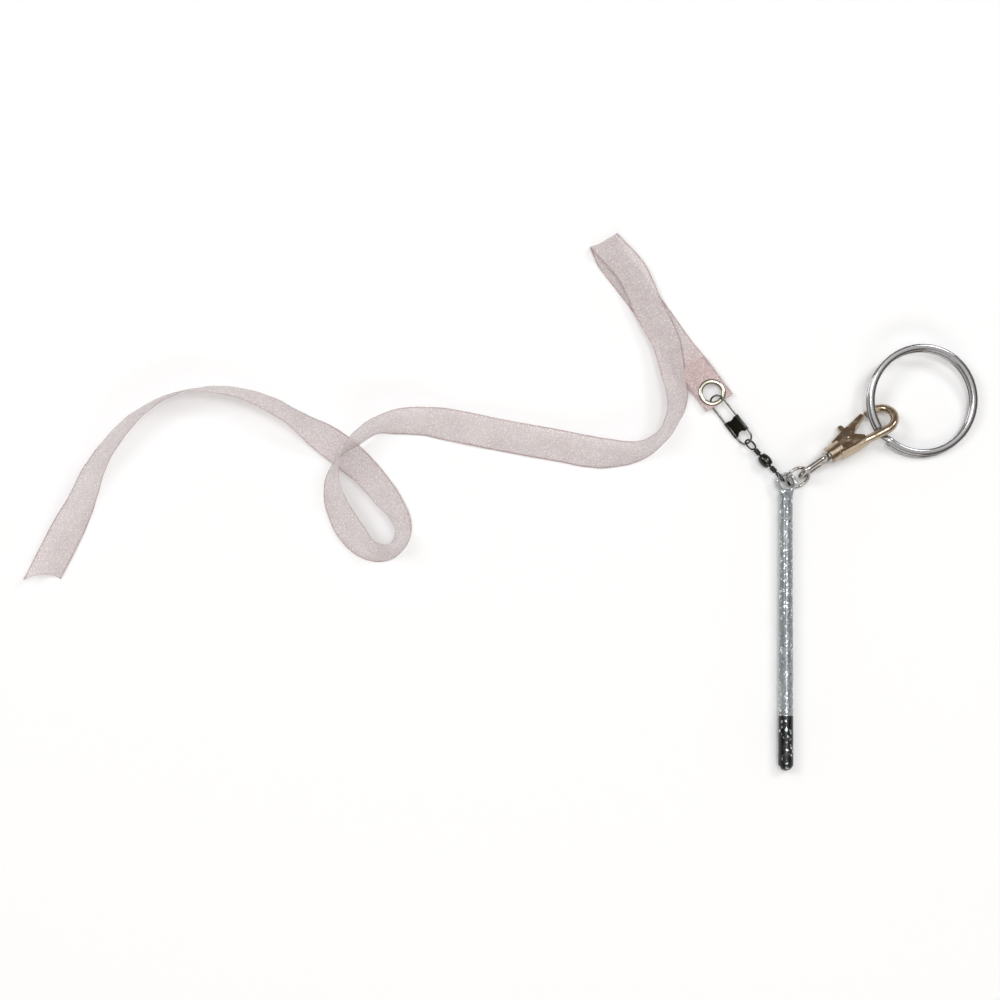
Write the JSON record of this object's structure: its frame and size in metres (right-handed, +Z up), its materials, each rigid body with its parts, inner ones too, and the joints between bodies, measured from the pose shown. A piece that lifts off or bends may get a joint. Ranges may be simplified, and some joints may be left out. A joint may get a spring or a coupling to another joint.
{
  "type": "rhythmic ribbon wand",
  "caption": "Short glitter stick with a sheer ribbon on an eyelet, snap and swivel, and a trigger clasp with a split ring.",
  "frame": {"origin": "middle of the whole object's footprint, on the surface that it lies on", "axes": "+X along the object's longest side, towards the key ring; +Y away from the dipped end of the stick; +Z up"},
  "size_m": [0.2957, 0.1693, 0.0114],
  "materials": {
    "stick_clear": "clear plastic with silver glitter",
    "dip_black": "black glitter",
    "nickel": "bright nickel",
    "black_nickel": "black nickel",
    "black_spring": "dark spring steel",
    "spring_wire": "bright drawn wire",
    "pale_nickel": "pale nickel",
    "organza": "sheer, glittered"
  },
  "bodies": {
    "stick": {"stick_rod": "stick_clear", "grip_dip": "dip_black"},
    "jump_ring": {"jump_ring": "nickel"},
    "clasp_eye": {"clasp_eye": "nickel", "clasp_stem": "nickel"},
    "clasp": {"clasp_body": "nickel", "gate_rivet": "nickel", "gate_spring": "black_spring"},
    "gate": {"trigger_gate": "nickel"},
    "key_ring": {"key_ring": "nickel"},
    "swivel_lower": {"swivel_lower_eye": "black_nickel"},
    "barrel": {"swivel_barrel": "black_nickel"},
    "swivel_upper": {"swivel_upper_eye": "black_nickel"},
    "snap": {"snap_wire": "spring_wire", "snap_plate": "black_nickel"},
    "ribbon_end": {"eyelet": "pale_nickel", "eyelet_washer": "pale_nickel", "ribbon": "organza"}
  },
  "joints": [
    {"name": "jump_ring_swing", "type": "hinge", "parent": "stick", "child": "jump_ring", "pos_m": [0.08979, 0.00432, 0.003], "axis": [-0.5, 0.866, 0], "range_deg": [-12, 0]},
    {"name": "clasp_eye_swing", "type": "hinge", "parent": "jump_ring", "child": "clasp_eye", "pos_m": [0.0945, 0.00587, 0.0032], "axis": [-0.2401, 0.6781, 0.6947], "range_deg": [-9, 0]},
    {"name": "clasp_swivel", "type": "hinge", "parent": "clasp_eye", "child": "clasp", "pos_m": [0.1024, 0.01238, 0.00395], "axis": [0.8192, 0.5736, 0], "continuous": true},
    {"name": "gate_hinge", "type": "hinge", "parent": "clasp", "child": "gate", "pos_m": [0.10706, 0.01689, 0.00331], "axis": [-0.3039, 0.4341, 0.848], "range_deg": [-12, 0], "stiffness_Nm_per_rad": 0.002},
    {"name": "key_ring_swing", "type": "hinge", "parent": "clasp", "child": "key_ring", "pos_m": [0.1159, 0.02162, 0.00415], "axis": [-0.4432, 0.8811, 0.165], "range_deg": [-8, 0]},
    {"name": "swivel_eye_swing", "type": "hinge", "parent": "stick", "child": "swivel_lower", "pos_m": [0.08563, 0.00487, 0.003], "axis": [-0.7638, -0.6455, 0], "range_deg": [-20, 0]},
    {"name": "barrel_spin", "type": "hinge", "parent": "swivel_lower", "child": "barrel", "pos_m": [0.08125, 0.01005, 0.00246], "axis": [-0.6434, 0.7613, -0.0802], "continuous": true},
    {"name": "upper_eye_spin", "type": "hinge", "parent": "barrel", "child": "swivel_upper", "pos_m": [0.07688, 0.01522, 0.00191], "axis": [-0.6434, 0.7613, -0.0802], "continuous": true},
    {"name": "snap_swing", "type": "hinge", "parent": "swivel_upper", "child": "snap", "pos_m": [0.07603, 0.01628, 0.00186], "axis": [0, 0, 1], "range_deg": [-15, 15]},
    {"name": "eyelet_swing", "type": "hinge", "parent": "snap", "child": "ribbon_end", "pos_m": [0.06565, 0.03014, 0.00195], "axis": [-0.7986, -0.6018, 0], "range_deg": [-6, 0]}
  ]
}
